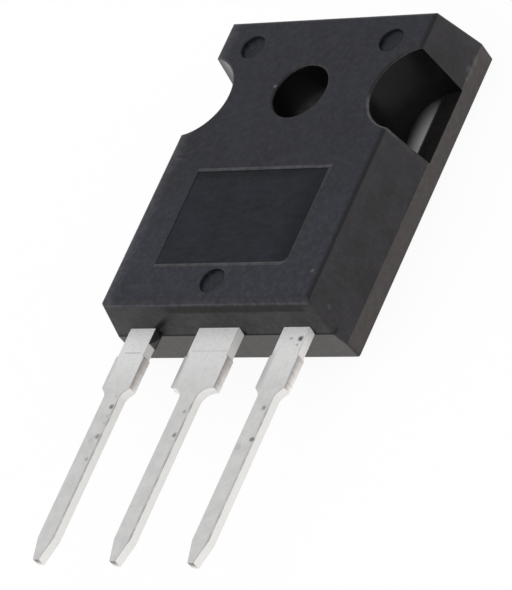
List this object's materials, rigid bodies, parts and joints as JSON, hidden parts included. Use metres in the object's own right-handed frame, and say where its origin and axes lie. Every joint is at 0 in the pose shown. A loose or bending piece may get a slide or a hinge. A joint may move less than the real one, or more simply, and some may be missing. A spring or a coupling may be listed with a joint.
{
  "type": "power mosfet",
  "caption": "Three-lead power transistor in a black moulded body with a metal heat-sink back, a screw hole, half-round side notches and straight tinned leads.",
  "frame": {"origin": "on the screw hole's axis, in the plane of the bare metal back", "axes": "+X across the leads from gate to source, +Y along the leads towards the tab end, +Z out of the front face"},
  "size_m": [0.0158, 0.0354, 0.0049],
  "materials": {
    "mould_compound": "fine matte spark-eroded moulding",
    "tinned_copper": "matte tin plate on copper",
    "solder": "dull solder",
    "silicon": "polished silicon with a metal top",
    "bond_wire": "drawn aluminium wire"
  },
  "bodies": {
    "root": {"mould_body": "mould_compound", "drain_frame": "tinned_copper", "gate_lead": "tinned_copper", "source_lead": "tinned_copper", "die_solder": "solder", "silicon_die": "silicon", "source_wire_1": "bond_wire", "source_wire_2": "bond_wire", "source_wire_3": "bond_wire", "gate_wire": "bond_wire"}
  },
  "joints": []
}
